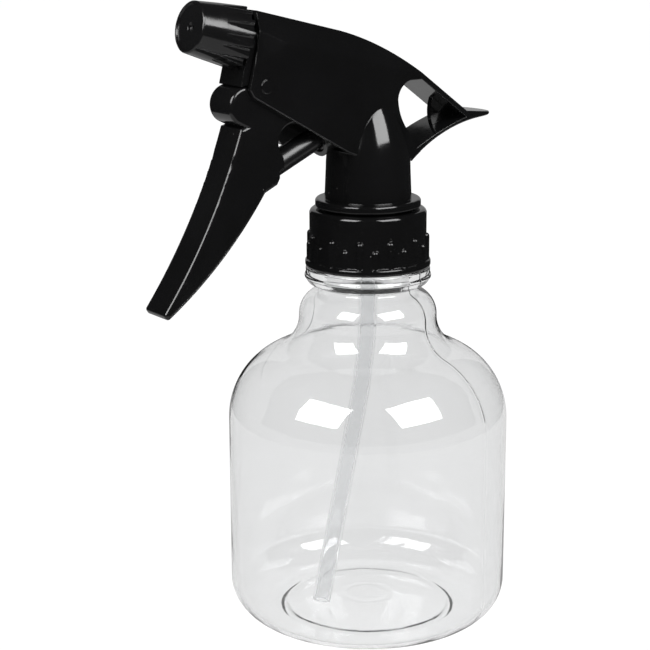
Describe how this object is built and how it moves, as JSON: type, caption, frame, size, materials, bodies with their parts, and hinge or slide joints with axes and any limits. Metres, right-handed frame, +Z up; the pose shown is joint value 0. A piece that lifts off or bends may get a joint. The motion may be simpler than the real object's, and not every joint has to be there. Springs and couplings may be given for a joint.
{
  "type": "trigger spray bottle",
  "caption": "Small clear round bottle with a black trigger sprayer head, screw closure, dip tube, spring-loaded trigger and adjustable nozzle cap.",
  "frame": {"origin": "middle of the bottle's base, on the surface it stands on", "axes": "+Z up along the bottle, the nozzle points towards -Y and slightly up, +X to the sprayer's left side seen from behind the nozzle"},
  "size_m": [0.075, 0.1049, 0.1686],
  "materials": {
    "bottle_clear": "clear, glossy, slightly grey",
    "tube_natural": "translucent natural plastic, satin",
    "valve_natural": "natural white plastic, satin",
    "gasket_foam": "pale soft liner, matte",
    "head_black": "moulded, glossy",
    "body_black": "moulded, glossy",
    "trigger_black": "moulded, glossy",
    "cap_black": "moulded, glossy",
    "nut_black": "moulded, glossy",
    "piston_black": "moulded, satin",
    "pin_black": "moulded, satin",
    "seal_rubber": "smooth, matte",
    "steel": "stainless, bright drawn"
  },
  "bodies": {
    "bottle": {"bottle": "bottle_clear"},
    "sprayer": {"shroud": "head_black", "pump_body": "body_black", "tube_holder": "valve_natural", "dip_tube": "tube_natural", "neck_gasket": "gasket_foam", "return_spring": "steel", "swirl_insert": "valve_natural", "outlet_spring": "steel"},
    "collar": {"closure_nut": "nut_black"},
    "trigger": {"trigger": "trigger_black", "pivot_pin": "pin_black"},
    "plunger": {"piston": "piston_black", "piston_seal": "seal_rubber", "vent_seal": "seal_rubber"},
    "nozzle": {"nozzle_cap": "cap_black", "nozzle_seal": "seal_rubber"},
    "inlet_valve": {"inlet_ball": "steel"},
    "outlet_valve": {"outlet_ball": "steel"}
  },
  "joints": [
    {"name": "sprayer_lift", "type": "slide", "parent": "bottle", "child": "sprayer", "axis": [0, 0, 1], "range_m": [0, 0.115], "deforming": ["dip_tube"]},
    {"name": "collar_turn", "type": "hinge", "parent": "sprayer", "child": "collar", "pos_m": [0, 0, 0.105], "axis": [0, 0, 1], "range_deg": [0, 450]},
    {"name": "trigger_pull", "type": "hinge", "parent": "sprayer", "child": "trigger", "pos_m": [0, -0.0409, 0.1427], "axis": [1, 0, 0], "range_deg": [0, 22], "stiffness_Nm_per_rad": 0.2, "springref_deg": -20.05},
    {"name": "piston_stroke", "type": "slide", "parent": "sprayer", "child": "plunger", "axis": [0, 0.9121, 0.4099], "range_m": [0, 0.0079], "deforming": ["return_spring"]},
    {"name": "nozzle_turn", "type": "hinge", "parent": "sprayer", "child": "nozzle", "pos_m": [0, -0.054, 0.1625], "axis": [0, -0.9703, 0.2419], "range_deg": [0, 270]},
    {"name": "inlet_lift", "type": "slide", "parent": "sprayer", "child": "inlet_valve", "axis": [0, 0, 1], "range_m": [0, 0.0007]},
    {"name": "outlet_lift", "type": "slide", "parent": "sprayer", "child": "outlet_valve", "axis": [0, -0.9703, 0.2419], "range_m": [0, 0.0006], "stiffness_N_per_m": 50, "springref_m": -0.001, "deforming": ["outlet_spring"]}
  ],
  "couplings": [
    {"joint": "piston_stroke", "follows": "trigger_pull", "m_per_rad": 0.01985}
  ]
}
